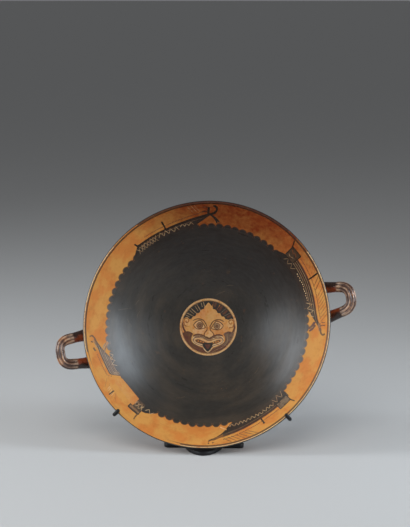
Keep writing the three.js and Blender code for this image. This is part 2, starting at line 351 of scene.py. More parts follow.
ship = on_ship(235.5)
hull(ship,
     ((61, 131), (69, 141.2), (86.7, 142.4), (103, 144.4), (113, 146), (120, 147.2)),
     ((61, 129), (84, 130.5), (92, 134), (103, 139.4), (113, 144), (120, 146.8)),
     ((0.4, 0.8, "gloss"), (1.8, 0.9, "strake"), (3.6, 1.1, "plum"), (5.2, 0.9, "strake"), (7.0, 1.0, "plum"),
      (8.6, 0.8, "strake")), (66, 100))
fill([(8, 139), (1, 139.6), (-4, 137.6), (-10, 134.6), (-14, 131.4), (-9, 129.6), (8, 129)], "gloss", ship)
castle(ship, 5.4, 22.2, 131.4, 146, "dark_castle")
stays(ship, 36, 58, 7, 153, 146, "faint", 9)
stays(ship, 44, 54, 2.4, 152.4, 147.6, "pale", 2)
oars(ship, 6, 21, 140, 133, 5, 0.8, crossed=True)
oars(ship, -10, 2, 137, 133, 4)
oars(ship, 76, 96, 134, 129, 4)
strokes(
    ship,
    ([(6, 143.6), (13, 143), (21, 143.6)], 2.2, "plum"),
    ([(6.6, 145.4), (6.4, 149.6), (5.8, 153)], 1.7, "thin"),
    ([(48, 146.5), (47.8, 150), (47.4, 154)], 1.7, "gloss"),
    ([(108, 145), (115, 146), (119.6, 147.4), (122, 150), (120.6, 152.4)], 2.0, "thin"),
    ([(106, 145.6), (112, 147), (117, 149)], 1.2, "strake"),
    ([(103, 147.6), (105, 149), (107.4, 149.4)], 2.2, "thin"),
    ([(113.6, 149.6), (114.8, 150.4), (115, 151.6)], 1.7, "thin"),
    ([(98, 138.6), (104, 136), (110, 131.6)], 1.8, "plum"),
    ([(104, 139), (108, 136.6), (113, 132)], 1.6, "strake"),
)

# A lost stretch of the fourth ship, made good in plain orange
patch = [polar(130.6, 227.9), polar(141.5, 227.9), polar(141, 213), polar(138.6, 210.6), polar(130.6, 212.6)]
painting.append((patch, "fill"))

# Grinning mask in the middle: a round face with a fringe of locks, wide eyes, a broad nose, a grin with the
# tongue out and a beard, inside a plain ring.
MASK_CENTRE = Vector((0, -0.6))
MASK_RADIUS = 38.4
FACE_LINE, FACE_RADIUS = 36.0, 35.4
HAIR_RADIUS = 35.2
LOCK_ROOT = 34


def on_mask(point):
    return Vector(point) + MASK_CENTRE


def mirrored(points):
    return [(-x, y) for x, y in points]


dab((0, 0), (MASK_RADIUS, MASK_RADIUS), "rosy", on_mask, 72)
dab((0, 0), (FACE_LINE, FACE_LINE), "thin", on_mask, 72)
dab((0, 0), (FACE_RADIUS, FACE_RADIUS), "face", on_mask, 72)
dab((-13, -4.5), (8, 5), "pale", on_mask, 20)
dab((15, -7), (5.6, 4), "blush", on_mask, 20)
dab((0, 27), (3, 3), "blush", on_mask, 20)

# Fringe: dark locks with round ends, parted by cream lines on the left and brushed over with red on the right
hairline = [(-26, 10), (-19, 15.4), (-14.5, 19), (-10, 22.6), (-6, 26.6), (-2.6, 30.2), (0, 33)]
hairline += mirrored(hairline[-2::-1])
crown = [polar(HAIR_RADIUS, degrees)[:] for degrees in range(18, 163, 9)]
fill(hairline + crown, "gloss", on_mask, 2)
for x, y in ((7.8, 25.4), (13.2, 20.4), (18.4, 16.2), (23.6, 12.4)):
    out = Vector((x, y)).normalized()
    across = Vector((-out.y, out.x))
    end = Vector((x, y)) - out * 1.4
    middle, root = end.lerp(out * LOCK_ROOT, 0.5), out * LOCK_ROOT
    brush([(-end.x, end.y), (-middle.x, middle.y), (-root.x, root.y)], 4.0, "gloss", on_mask, (0.7, 0.9))
    brush([end, middle, root], 4.0, "hull", on_mask, (0.7, 0.9))
    brush([end + out * 3, middle, root], 2.6, "oxblood", on_mask, (0.8, 0.9))
    parting = [point + across * 3.2 for point in (end + out * 0.6, middle, root)]
    brush([(-p.x, p.y) for p in parting], 0.8, "oar", on_mask, (1, 1))
    brush([(-p.x, p.y) for p in (end + out * 3, middle, root)], 0.6, "oar", on_mask, (1, 1))
    brush(parting, 0.9, "red_line" if x < 15 else "castle", on_mask, (1, 1))

# Ears: a red lock behind each, and a red curl inside
for side, x, y in ((-1, -29.4, 6.2), (1, 30.6, 4.4)):
    brush([(x + side * 4, y + 1), (x + side * 4.6, y - 6), (x + side, y - 14)], 2.4, "oxblood", on_mask)
    dab((x, y), (4.7, 6.8), "ear", on_mask, 20)
    curl = [(-2.6, -5.4), (2.2, -4.4), (3.6, 0), (2.8, 4), (0, 5.4)]
    curl += [(-2.8, 3.6), (-2.2, 0.4), (0.4, 0), (0.6, 2.4)]
    brush([(x + side * out, y + up) for out, up in curl], 1.6, "ear_line", on_mask, (0.8, 0.8))

# Eyes: ringed pupils between dark lids, and brows that run down towards the nose
for side, x, y in ((-1, -11.6, 2.2), (1, 11.6, 1.2)):
    inner, outer = (x - side * 8, y - 3), (x + side * 8.8, y + 0.4)
    lids = [outer, (x + side * 4, y + 5.2), (x - side * 2, y + 5.6), inner]
    lids += [(x, y - 4.8), (x + side * 5, y - 3.6)]
    fill(lids, "eye", on_mask)
    dab((x, y), (4.5, 4.5), "thin", on_mask, 24)
    dab((x, y), (3.7, 3.7), "plum" if side < 0 else "strake", on_mask, 20)
    dab((x, y), (2.1, 2.1), "thin", on_mask, 16)
    dab((x, y), (0.9, 0.9), "plum", on_mask, 10)
    brush([inner, (x - side * 2, y + 5.8), (x + side * 4, y + 5.4), outer], 1.4, "thin", on_mask, (0.7, 0.4))
    brush([inner, (x, y - 5), (x + side * 5, y - 3.8), outer], 1.2, "thin", on_mask, (0.7, 0.4))
    brow = [(x + side * 9.5, y + 6.2), (x + side * 3, y + 8.8)]
    brow += [(x - side * 5, y + 6.6), (x - side * 9.6, y - 1)]
    brush(brow, 1.5, "thin", on_mask, (0.4, 0.8))

# Nose: a pale tip and a dark outline, open at the top
tip = [(-4.8, -11.4), (-2.6, -7.6), (1, -5), (4.8, -7.6), (6.4, -11), (3.4, -13.6), (-1.4, -13.8)]
fill(tip, "pale", on_mask)
nose = [(-2, 1), (-1.9, -4), (-4.6, -7.4), (-5.6, -10.6), (-4, -13), (-1.4, -13.4), (1.2, -15), (4, -13.4)]
nose += [(6.6, -12.6), (7.4, -10), (5.6, -7), (2.8, -4), (2.4, 1)]
brush(nose, 1.3, "thin", on_mask, (0.8, 0.8))

# Beard: dark red on both sides of the mouth, greyed with cream on the right as a painted sheen, with a dark
# edge and a thin line along it
beard = [polar(HAIR_RADIUS, degrees)[:] for degrees in range(193, 271, 7)]
beard += [(-0.6, -33.6), (-6.4, -28.4), (-12, -26), (-19, -22.4), (-22.8, -18), (-22, -12), (-20.6, -9)]
beard.append((-27, -5.6))
fill(beard, "oxblood", on_mask, 2)
# The right half's paint has cream in it: a painted sheen on the red
fill(mirrored(beard), "beard", on_mask, 2)
fill([(1, -34.6), (8, -29.4), (20, -25), (24, -25.6), (17, -31.6)], "oxblood", on_mask)
for side in (-1, 1):
    edge = [(20.4, -9), (22.6, -13), (23, -18.6), (19.2, -23), (12, -26.8), (6.8, -29.2), (1.6, -34.4)]
    brush([(side * x, y) for x, y in edge], 1.0, "thin", on_mask)
    line = [(24.6, -9.4), (26, -15), (24.6, -22), (19, -27), (11, -30.4), (5, -34)]
    brush([(side * x, y) for x, y in line], 0.6, "strake" if side > 0 else "rail", on_mask)

# Grin: a red moustache over banded lips, a dark gap with a few teeth, and the tongue hanging out
lips = [(-21.6, -17), (-18.4, -12.4), (-12, -11), (-6, -12.8), (1, -15.8), (8, -13.2), (14, -12)]
lips += [(19.4, -13.4), (21.4, -17.6), (18.6, -22.4), (12, -25), (6.6, -27.2), (3.4, -31.6), (-0.6, -34.2)]
lips += [(-4.8, -31.2), (-7.8, -27), (-14, -24.6), (-19.2, -21.6)]
fill(lips, "cream", on_mask)
MOUTH_HEIGHT = -19.4
for across, up, paint in ((0.95, 0.87, "oxblood"), (0.91, 0.74, "cream"), (0.86, 0.58, "pale")):
    fill([(x * across, MOUTH_HEIGHT + (y - MOUTH_HEIGHT) * up) for x, y in lips], paint, on_mask)
moustache = [(-20.4, -12.2), (-14, -10.4), (-8, -11.6), (0.6, -16.2), (8.4, -12), (14, -10.8), (20, -11.8)]
brush(moustache, 2.8, "oxblood", on_mask)
brush([(x, y - 0.7) for x, y in moustache], 0.7, "strake", on_mask)
brush([(-17, -14.4), (-8, -14.6), (1, -18.4), (10, -15.4), (17.6, -15.4)], 1.2, "plum", on_mask)
grin = [(-17.6, -18.4), (-13.6, -16.4), (-7, -18.6), (0, -21.2), (8, -19.2), (13.6, -17), (17, -18.6)]
grin += [(12.6, -21.4), (6, -23.2), (-6, -23.4), (-13.4, -21.8)]
fill(grin, "thin", on_mask)
for x, y in ((-13.4, -18.9), (-10, -19.6), (-6.6, -20.4), (7, -20.6), (10.4, -20), (13.4, -19.2)):
    dab((x, y), (1.1, 1.0), "fill", on_mask, 8)
tongue = [(-7.4, -22), (-1, -21.2), (6, -22), (5.4, -25.6)]
tongue += [(2.8, -30.2), (-0.6, -33.2), (-4.2, -30), (-6.8, -26)]
fill(tongue, "gloss", on_mask)
fill([(-4.0, -23.6), (-0.6, -23.2), (3.0, -23.6), (2.0, -27), (-0.6, -29.4), (-3.0, -27)], "oxblood", on_mask)

# Old scratches in the black: how far out, how many degrees round, and half the length of each
SCRATCHES = (
    (112, 169, 9), (48, 70, 7), (62, 62, 5), (88, 318, 5),
    (101, 250, 6), (104, 178, 6), (94, 171, 5), (99, 162, 4),
)
for radius, degrees, reach in SCRATCHES:
    centre = polar(radius, degrees)
    run = polar(reach, hand.uniform(0, 180))
    brush([centre - run, centre + run * 0.1 + polar(0.6, degrees), centre + run], 0.45, "scratch")


# Bowl, stem and foot. Thrown on the wheel from fine clay in one piece with a hollow foot, pulled slightly
# oval when the handles went on, then painted and fired. The wall is thin at the lip and thicker at the floor.
MM = 0.001
RIM_RADIUS, CUP_HEIGHT = 160.0, 130.0
LIP_HALF = (RIM_RADIUS - LIP_INNER_RADIUS) / 2
LIP_HEIGHT = CUP_HEIGHT - LIP_HALF
FLOOR_TOP, FLOOR_UNDER = 44.0, 38.0
STEM_TOP_RADIUS = 22.5
FOOT_CENTRE = Vector((0.00115, 0.07659, 0.13034))
LEAN = math.radians(15)
OVAL = {"share": 0.0115, "direction": math.radians(46.4), "from": 40.0}
GRID_SPACING = 2.6
LONGEST_SIDE = 5.5
CLEAR_OF_LINES, CLEAR_OF_EDGE = GRID_SPACING * 0.35, 0.9
SAME_PLACE = 1e-4


def cap_radius(rim, depth):
    """Radius of the sphere whose cap has this rim and this depth."""
    return (rim * rim + depth * depth) / (2 * depth)


INSIDE_SPHERE = cap_radius(LIP_INNER_RADIUS, LIP_HEIGHT - FLOOR_TOP)
OUTSIDE_SPHERE = cap_radius(RIM_RADIUS, LIP_HEIGHT - FLOOR_UNDER)


def in_short_steps(outline):
    """The outline with its long sides split, so that it bends with the wall."""
    steps = []
    for a, b in zip(outline, outline[1:] + outline[:1]):
        count = math.ceil((b - a).length / LONGEST_SIDE)
        steps += [a.lerp(b, k / count) for k in range(count)]
    return steps


def painted_sheet(inner, outer, shapes):
    """A flat sheet between two circles, cut along the outlines painted on it, the later ones on top."""
    outlines = [(circle(outer), "clay"), *shapes]
    if inner:
        outlines.append((circle(inner), None))
    corners, faces = [], []
    for outline, _ in outlines:
        area = sum(a.cross(b) for a, b in zip(outline, outline[1:] + outline[:1]))
        ring = in_short_steps(outline if area > 0 else outline[::-1])
        faces.append(list(range(len(corners), len(corners) + len(ring))))
        corners += ring
    near = KDTree(len(corners))
    for i, corner in enumerate(corners):
        near.insert((*corner, 0), i)
    near.balance()
    first = math.ceil(inner / GRID_SPACING) if inner else 1
    for ring in range(first, math.ceil(outer / GRID_SPACING)):
        count = min(6 * ring, TURN_SIDES * 2)
        for k in range(count):
            point = polar(ring * GRID_SPACING, 360 * (k + 0.5 * (ring % 2)) / count)
            clear = near.find((*point, 0))[2] > CLEAR_OF_LINES
            if clear and point.length < outer - CLEAR_OF_EDGE:
                corners.append(point)
    places, _, triangles, _, _, owners = delaunay_2d_cdt(corners, [], faces, 0, SAME_PLACE)
    kept, paints = [], []
    for triangle, owner in zip(triangles, owners):
        paint = outlines[max(owner)][1] if owner else None
        if paint:
            kept.append(triangle)
            paints.append(paint)
    return places, kept, paints


# Outside, plain bands and a row of rays round the stem: each band reaches in from its radius
OUTSIDE_BANDS = [
    (156.4, "clay"), (122, "gloss"), (119.6, "clay"), (118, "gloss"), (116.6, "clay"), (115.4, "gloss"),
    (66, "clay"), (64.2, "gloss"), (63, "clay"),
]
RAY_COUNT, RAY_TIP = 26, 61.0
RAY_HALF = 360 / RAY_COUNT * 0.44
RAY_START = STEM_TOP_RADIUS + 0.3
outside_painting = [(circle(RIM_RADIUS), "gloss")]
outside_painting += [(circle(radius), paint) for radius, paint in OUTSIDE_BANDS]
for k in range(RAY_COUNT):
    turn = 360 * k / RAY_COUNT
    ray = [polar(RAY_START, turn - RAY_HALF), polar(RAY_START, turn + RAY_HALF), polar(RAY_TIP, turn)]
    outside_painting.append((ray, "gloss"))

# Profile over the lip from its inner edge: radius, height and the paint of the ring that starts there.
# The crown, where the lip was rubbed, is between two angles round the lip's half-round edge.
LIP_STEPS = 10
CROWN_START, CROWN_END = 2.0, 1.4
lip_profile = []
for k in range(LIP_STEPS + 1):
    t = math.pi * (1 - k / LIP_STEPS)
    paint = "thin" if t > CROWN_START else "worn_lip" if t > CROWN_END else "gloss"
    out = RIM_RADIUS - LIP_HALF + LIP_HALF * math.cos(t)
    lip_profile.append((out, LIP_HEIGHT + LIP_HALF * math.sin(t), paint))


def band(paint, *places):
    """Points of a profile, radius and height, all of one paint."""
    return [(radius, height, paint) for radius, height in places]


# Profile from under the bowl down the stem, with its red ring, and round the foot into its hollow
under_bowl = FLOOR_UNDER + OUTSIDE_SPHERE - math.sqrt(OUTSIDE_SPHERE ** 2 - STEM_TOP_RADIUS ** 2)
RING_RADIUS, RING_HEIGHT, RING_HALF = 18.5, 34.5, 2
red_ring = []
for k in range(10):
    t = math.radians(70 - 15 * k)
    red_ring.append((RING_RADIUS + RING_HALF * math.cos(t), RING_HEIGHT + RING_HALF * math.sin(t)))
stem = [(15.6, 28), (15.5, 26.5), (16.1, 23.6), (18.4, 20.6)]
stem += [(23, 18.2), (31, 16.2), (42, 14.4), (54, 12.6)]
stem_profile = band("gloss", (STEM_TOP_RADIUS, under_bowl), (20.4, 37.2))
stem_profile += band("oxblood", *red_ring)
stem_profile += band("gloss", (17.0, 31.6), (16.2, 30), *flowing(stem))
stem_profile += band("clay", (57.2, 11.8), (58.6, 10.6), (59, 9.2), (59, 2))
stem_profile += band("clay", (58.6, 0.7), (57.4, 0), (50.4, 0))
stem_profile += band("gloss", (49, 0.8), (46, 3.5), (34, 7.4), (22, 11))
stem_profile += band("clay", (13, 13.8), (10.4, 16.4), (7.2, 20.4), (3.6, 21.8))
HOLLOW_TOP = 22.0

# Stretches of the lip, in degrees round it
BARE_LIP, BLACK_LIP, BROWN_LIP = (193, 258), (47, 125), (35, 140)


def rubbed_by_hands(paint, degrees):
    """The lip's paint: the crown is rubbed pale on both sides, black at the top, and bare at lower left."""
    if BARE_LIP[0] < degrees < BARE_LIP[1]:
        return "gloss" if paint == "gloss" else "clay"
    if paint == "worn_lip" and BLACK_LIP[0] < degrees < BLACK_LIP[1]:
        return "thin"
    if paint == "worn_lip" and BROWN_LIP[0] < degrees < BROWN_LIP[1]:
        return "faint"
    return paint


# Flakes gone from the lip: degrees round it, half the width in degrees, depth
CHIPS = ((60.4, 1.7, 1.2), (57.6, 0.9, 0.7), (64.0, 0.7, 0.5), (141, 0.8, 0.5), (288, 0.9, 0.5))


def chipped(height, degrees):
    """The lip lowered where a flake is gone."""
    return height - sum(depth * max(0, 1 - ((degrees - at) / half) ** 2) for at, half, depth in CHIPS)


INSIDE, OUTSIDE, TURNED = 0, 1, 2
corners, faces, face_paints, sides = [], [], [], []


def add_sheet(sheet, side):
    """A painted sheet, facing up inside the bowl and down outside it."""
    places, triangles, paints = sheet
    start = len(corners)
    corners.extend(Vector((p.x, p.y, 0)) for p in places)
    sides.extend([side] * len(places))
    for triangle, paint in zip(triangles, paints):
        order = triangle if side == INSIDE else triangle[::-1]
        faces.append([start + i for i in order])
        face_paints.append(paint)


def add_rings(profile, centre_height=None, shaped=lambda height, degrees: height,
              painted=lambda paint, degrees: paint):
    """Rings of quads from each point of a profile to the next, closed at a centre if one is given."""
    start = len(corners)
    for radius, height, _ in profile:
        for k in range(TURN_SIDES):
            degrees = 360 * k / TURN_SIDES
            point = polar(radius, degrees)
            corners.append(Vector((point.x, point.y, shaped(height, degrees))))
    for ring in range(len(profile) - 1):
        for k in range(TURN_SIDES):
            a, b = (start + ring * TURN_SIDES + (k + d) % TURN_SIDES for d in (0, 1))
            faces.append([a, a + TURN_SIDES, b + TURN_SIDES, b])
            face_paints.append(painted(profile[ring][2], 360 * k / TURN_SIDES))
    sides.extend([TURNED] * (len(corners) - start))
    if centre_height is not None:
        corners.append(Vector((0, 0, centre_height)))
        sides.append(TURNED)
        first = len(corners) - 1 - TURN_SIDES
        for k in range(TURN_SIDES):
            faces.append([first + k, len(corners) - 1, first + (k + 1) % TURN_SIDES])
            face_paints.append(profile[-1][2])


add_sheet(painted_sheet(0, LIP_INNER_RADIUS, painting), INSIDE)
add_sheet(painted_sheet(STEM_TOP_RADIUS, RIM_RADIUS, outside_painting), OUTSIDE)
add_rings(lip_profile, shaped=chipped, painted=rubbed_by_hands)
add_rings(stem_profile, HOLLOW_TOP)

flat_bowl = bpy.data.meshes.new("flat_bowl")
flat_bowl.from_pydata([corner * MM for corner in corners], [], faces)
flat_bowl.attributes.new("side", "INT", "POINT").data.foreach_set("value", sides)
coat = flat_bowl.attributes.new("paint", "FLOAT_VECTOR", "FACE")
coat.data.foreach_set("vector", [amount for name in face_paints for amount in PAINTS[name]])


class Wire:
    """A socket in a node tree. Arithmetic on it adds Math nodes; node() adds any other node."""

    def __init__(self, tree, socket=None):
        self.tree = tree
        self.socket = socket

    def node(self, kind, settings=None, sockets=None, out=0):
        made = self.tree.nodes.new(kind)
        for name, value in (settings or {}).items():
            setattr(made, name, value)
        for key, value in (sockets or {}).items():
            if isinstance(value, Wire):
                self.tree.links.new(value.socket, made.inputs[key])
            else:
                made.inputs[key].default_value = value
        return Wire(self.tree, made.outputs[out])

    def other(self, name):
        """Another output of the same node."""
        return Wire(self.tree, self.socket.node.outputs[name])

    def math(self, operation, *values):
        return self.node("ShaderNodeMath", {"operation": operation}, dict(enumerate(values)))

    def __add__(self, value):
        return self.math("ADD", self, value)

    def __sub__(self, value):
        return self.math("SUBTRACT", self, value)

    def __rsub__(self, value):
        return self.math("SUBTRACT", value, self)

    def __mul__(self, value):
        return self.math("MULTIPLY", self, value)

    def __truediv__(self, value):
        return self.math("DIVIDE", self, value)

    def __pow__(self, value):
        return self.math("POWER", self, value)

    __radd__ = __add__
    __rmul__ = __mul__


def parts(vector):
    """The x, y and z of a vector."""
    split = vector.node("ShaderNodeSeparateXYZ", sockets={0: vector})
    return split, split.other("Y"), split.other("Z")


def vector_of(x, y, z=0.0):
    return x.node("ShaderNodeCombineXYZ", sockets={0: x, 1: y, 2: z})


def named(start, name, kind="FLOAT"):
    """The value kept under a name on each point."""
    return start.node("GeometryNodeInputNamedAttribute", {"data_type": kind}, {"Name": name})


def new_tree(name, inputs):
    """A Geometry Nodes tree with named inputs; returns the tree and a Wire for each input."""
    tree = bpy.data.node_groups.new(name, "GeometryNodeTree")
    tree.interface.new_socket("Geometry", in_out="INPUT", socket_type="NodeSocketGeometry")
    for label, kind in inputs.items():
        tree.interface.new_socket(label, in_out="INPUT", socket_type="NodeSocket" + kind)
    tree.interface.new_socket("Geometry", in_out="OUTPUT", socket_type="NodeSocketGeometry")
    entry = tree.nodes.new("NodeGroupInput")
    return tree, {socket.name: Wire(tree, socket) for socket in entry.outputs if socket.name}


def end_tree(geometry, material):
    """Realize Instances, Set Material and the tree's output."""
    smooth = geometry.node("GeometryNodeSetShadeSmooth", sockets={"Geometry": geometry})
    real = geometry.node("GeometryNodeRealizeInstances", sockets={"Geometry": smooth})
    coated = geometry.node("GeometryNodeSetMaterial", sockets={"Geometry": real, "Material": material})
    leave = geometry.tree.nodes.new("NodeGroupOutput")
    geometry.tree.links.new(coated.socket, leave.inputs[0])


def made_plain(name, source, tree, values):
    """The plain mesh object that a tree makes of a mesh or curve."""
    worker = bpy.data.objects.new(name + "_source", source)
    scene.collection.objects.link(worker)
    modifier = worker.modifiers.new("making", "NODES")
    modifier.node_group = tree
    for item in tree.interface.items_tree:
        if item.in_out == "INPUT" and item.name in values:
            modifier[item.identifier] = values[item.name]
    bpy.context.view_layer.update()
    evaluated = worker.evaluated_get(bpy.context.evaluated_depsgraph_get())
    mesh = bpy.data.meshes.new_from_object(evaluated)
    worker.modifiers.remove(modifier)
    bpy.data.objects.remove(worker)
    piece = bpy.data.objects.new(name, mesh)
    scene.collection.objects.link(piece)
    return piece


PLACING_INPUTS = {
    "Oval Share": "Float", "Oval Direction": "Float", "Oval From": "Float", "Cup Height": "Float",
    "Lean": "Rotation", "Foot Centre": "Vector",
}
placing = {
    "Oval Share": OVAL["share"], "Oval Direction": OVAL["direction"], "Oval From": OVAL["from"] * MM,
    "Cup Height": CUP_HEIGHT * MM, "Lean": (math.pi / 2 - LEAN, 0, 0), "Foot Centre": FOOT_CENTRE,
}


def leaned_into_stand(geometry, given):
    """Adds the nodes that pull the cup oval towards its rim and lean it back where the stand holds it."""
    x, y, z = parts(geometry.node("GeometryNodeInputPosition"))
    rise = geometry.node("ShaderNodeMath", {"operation": "DIVIDE", "use_clamp": True}, {
        0: z - given["Oval From"], 1: given["Cup Height"] - given["Oval From"]})
    share = rise * given["Oval Share"]
    cos = geometry.math("COSINE", given["Oval Direction"])
    sin = geometry.math("SINE", given["Oval Direction"])
    out = (x * cos + y * sin) * share
    side = (y * cos - x * sin) * share
    pull = vector_of(out * cos + side * sin, out * sin - side * cos)
    oval = geometry.node("GeometryNodeSetPosition", sockets={"Geometry": geometry, "Offset": pull})
    return geometry.node("GeometryNodeTransform", sockets={
        "Geometry": oval, "Translation": given["Foot Centre"], "Rotation": given["Lean"]})


SEAM_GAP = 2e-5


def lifting_tree():
    """Lifts the painted sheets onto the spheres of the bowl's wall and joins them to the turned rings."""
    tree, given = new_tree("lift_onto_bowl", {
        "Inside Radius": "Float", "Floor Top": "Float", "Outside Radius": "Float", "Floor Under": "Float",
        **PLACING_INPUTS, "Clay": "Material"})
    start = given["Geometry"]
    x, y, z = parts(start.node("GeometryNodeInputPosition"))
    side = named(start, "side", "INT")

    def wall(radius, bottom):
        return bottom + radius - (radius * radius - x * x - y * y) ** 0.5

    def where(number, value):
        return start.math("COMPARE", side, number, 0.1) * value

    height = (
        where(INSIDE, wall(given["Inside Radius"], given["Floor Top"]))
        + where(OUTSIDE, wall(given["Outside Radius"], given["Floor Under"]))
        + where(TURNED, z)
    )
    lifted = start.node("GeometryNodeSetPosition", sockets={
        "Geometry": start, "Position": vector_of(x, y, height)})
    joined = start.node("GeometryNodeMergeByDistance", sockets={"Geometry": lifted, "Distance": SEAM_GAP})
    end_tree(leaned_into_stand(joined, given), given["Clay"])
    return tree


GLOSS_BLACK = (0.028, 0.025, 0.021, 1)
GLOSS_BROWN = (0.048, 0.038, 0.028, 1)
# Darkest black, used towards the top of the cup as shown: painted shade
GLOSS_TOP_SHADE = (0.0075, 0.0040, 0.0021, 1)
CLAY_GOLD = (0.50, 0.176, 0.038, 1)
CLAY_YELLOW = (0.52, 0.240, 0.056, 1)
# Reddest clay, in random clouds and towards the top of the cup as shown, where it is partly a redder tone and
# partly painted shade
CLAY_RED_AND_SHADE = (0.165, 0.022, 0.002, 1)
ADDED_RED = (0.092, 0.024, 0.024, 1)
ADDED_CREAM = (0.72, 0.545, 0.31, 1)


def new_material(name):
    material = bpy.data.materials.new(name)
    material.use_nodes = True
    shader = material.node_tree.nodes["Principled BSDF"]
    return material, shader, Wire(material.node_tree)


def cup_coordinates(start):
    """Where a point is on the cup as it stands on its foot, in metres."""
    place = start.node("ShaderNodeTexCoord", out="Object")
    return start.node("ShaderNodeMapping", {"vector_type": "TEXTURE"}, {
        "Vector": place, "Location": FOOT_CENTRE, "Rotation": (math.pi / 2 - LEAN, 0, 0)})


def noise(start, vector, scale, detail=2.0, roughness=0.5):
    return start.node("ShaderNodeTexNoise", sockets={
        "Vector": vector, "Scale": scale, "Detail": detail, "Roughness": roughness})


def ramp(value, low, high):
    """0 below low, 1 above high, smooth between."""
    return value.node("ShaderNodeMapRange", {"interpolation_type": "SMOOTHSTEP"}, {
        "Value": value, "From Min": low, "From Max": high})


def mixed(factor, first, second):
    return factor.node("ShaderNodeMix", {"data_type": "RGBA"}, {0: factor, 6: first, 7: second}, out=2)


def link(wire, shader, socket):
    wire.tree.links.new(wire.socket, shader.inputs[socket])


def bumped(shader, relief, strength, distance):
    """Fine relief that is only in the shading."""
    bump = relief.node("ShaderNodeBump", sockets={
        "Strength": strength, "Distance": distance, "Height": relief})
    link(bump, shader, "Normal")


def painted_pottery():
    """Fired clay and its slip, both uneven; the black is streaked, scuffed and rubbed off in specks."""
    material, shader, start = new_material("painted_pottery")
    upright = cup_coordinates(start)
    x, y, _ = parts(upright)
    radius = (x * x + y * y) ** 0.5
    slip, red, cream = parts(start.node("ShaderNodeAttribute", {"attribute_name": "paint"}, out="Vector"))

    def round_the_cup(across, along, detail, roughness=0.5):
        """Noise in streaks that run round with the wheel."""
        drawn = vector_of(radius * across, x / radius * along, y / radius * along)
        return noise(start, drawn, 1, detail, roughness)

    # Fine streaks of the wheel, broad sweeps of the brush, and short scuffs of use
    streak = round_the_cup(420, 3, 3)
    sweep = round_the_cup(95, 1.3, 2)
    scuff = round_the_cup(330, 10, 4, 0.6)
    rings = start.node("ShaderNodeTexNoise", {"noise_dimensions": "1D"}, {
        "W": radius * 900, "Scale": 1, "Detail": 2})
    mottle = noise(start, upright, 26, 5, 0.6)
    blotch = noise(start, upright, 75, 4, 0.55)
    fine = noise(start, upright, 210, 3, 0.6)
    grain = noise(start, upright, 900, 2)
    specks = ramp(noise(start, upright, 620, 2), 0.68, 0.76) * ramp(noise(start, upright, 14, 3), 0.52, 0.70)

    wear = specks * 0.4 + ramp(blotch, 0.66, 0.80) * 0.12
    cover = slip * (1 - wear)
    brown = ramp(mottle * 0.5 + sweep * 0.5, 0.42, 0.66)
    # Both darker towards the top, as the cup is shown: painted shade in the black, partly a redder tone and
    # partly painted shade in the clay; elsewhere the clay has yellow and orange clouds
    height = x * 0.26 + y * 0.97
    top_shade = ramp(height, 0.01, 0.10)
    black = mixed(top_shade, mixed(brown, GLOSS_BLACK, GLOSS_BROWN), GLOSS_TOP_SHADE)
    top_red_and_shade = ramp(height, 0.070, 0.155)
    tone_and_top_shade = top_red_and_shade * 0.92 + (blotch - 0.5) * 0.5 + (mottle - 0.5) * 0.3 + (fine - 0.5) * 0.55
    warm = mixed(ramp(noise(start, upright, 48, 3), 0.40, 0.62), CLAY_YELLOW, CLAY_GOLD)
    clay = mixed(start.math("MAXIMUM", tone_and_top_shade, 0), warm, CLAY_RED_AND_SHADE)
    coated = mixed(cover, clay, black)
    reddened = mixed(red * ramp(noise(start, upright, 240, 2), 0.25, 0.6), coated, ADDED_RED)
    colour = mixed(cream * ramp(noise(start, upright, 300, 2), 0.2, 0.6), reddened, ADDED_CREAM)
    link(colour, shader, "Base Color")
    polish = (sweep - 0.5) * 0.28 + (streak - 0.5) * 0.10 + (scuff - 0.5) * 0.08
    link(0.58 - cover * 0.25 + polish, shader, "Roughness")
    bumped(shader, rings * 0.4 + streak * 0.15 + grain * 0.12, 0.22, 0.0006)
    link(cover * (0.58 + (scuff - 0.5) * 0.75), shader, "Coat Weight")
    shader.inputs["Coat Roughness"].default_value = 0.33
    shader.inputs["Specular IOR Level"].default_value = 0.2
    return material


pottery = painted_pottery()
bowl = made_plain("kylix_bowl", flat_bowl, lifting_tree(), {
    "Inside Radius": INSIDE_SPHERE * MM, "Floor Top": FLOOR_TOP * MM,
    "Outside Radius": OUTSIDE_SPHERE * MM, "Floor Under": FLOOR_UNDER * MM,
    **placing, "Clay": pottery,
})
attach(bowl, "root")
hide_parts("kylix")


# Handles. Two rolls of clay bent into loops and luted to the wall below the rim. The roots and legs carry
# worn black slip; the outer part of each loop is bare clay, combed lengthwise into reeds.
HANDLE_TURN = 10.7
HANDLE_RISE = math.radians(26)
LEG_RADIUS, CUFF_RADIUS = 6.7, 7.0
LEG_START = 118.0
ROOT_BEND = {"from": 140.0, "lift": 0.03}
ROOT = {"out": 131.0, "height": 92.5}
LOOP_BEND = 13.0
LEG_STEPS, BEND_STEPS = 40, 12
HANDLE_STEPS, HANDLE_SIDES = 220, 96
SLEEVE_OUT = 175.5
REEDS, REED_DEPTH = 8, 1.4
MIDDLE_FLOOR = (FLOOR_TOP + FLOOR_UNDER) / 2
MIDDLE_SPHERE = cap_radius(RIM_RADIUS - LIP_HALF, LIP_HEIGHT - MIDDLE_FLOOR)
WALL_REACH = 157.5

# Along a leg from its start: where the root's flare ends, where it is full, and how much it adds
FLARE_END, FLARE_FULL, FLARE_SIZE = 66.0, 14.0, 3.4

# Along a leg from the sleeve's start: the step up to it, the easing to the bar, the worn end of the sleeve
SLEEVE_STEP, BAR_EASE, CUFF_WORN = (-0.4, 1.2), (4.0, 24.0), (9.0, 3.0)

# For each handle: half the distance between its legs at root and tip, how far out the tip is, the bar's
# radius, and how far down it sits
HANDLES = {
    "right": {"turn": 0, "root_half": 24.0, "tip_half": 14.0, "tip": 189.3, "bar": 6.9, "drop": 0.7},
    "left": {"turn": 180, "root_half": 20.7, "tip_half": 15.5, "tip": 192.4, "bar": 6.2, "drop": 1.9},
}


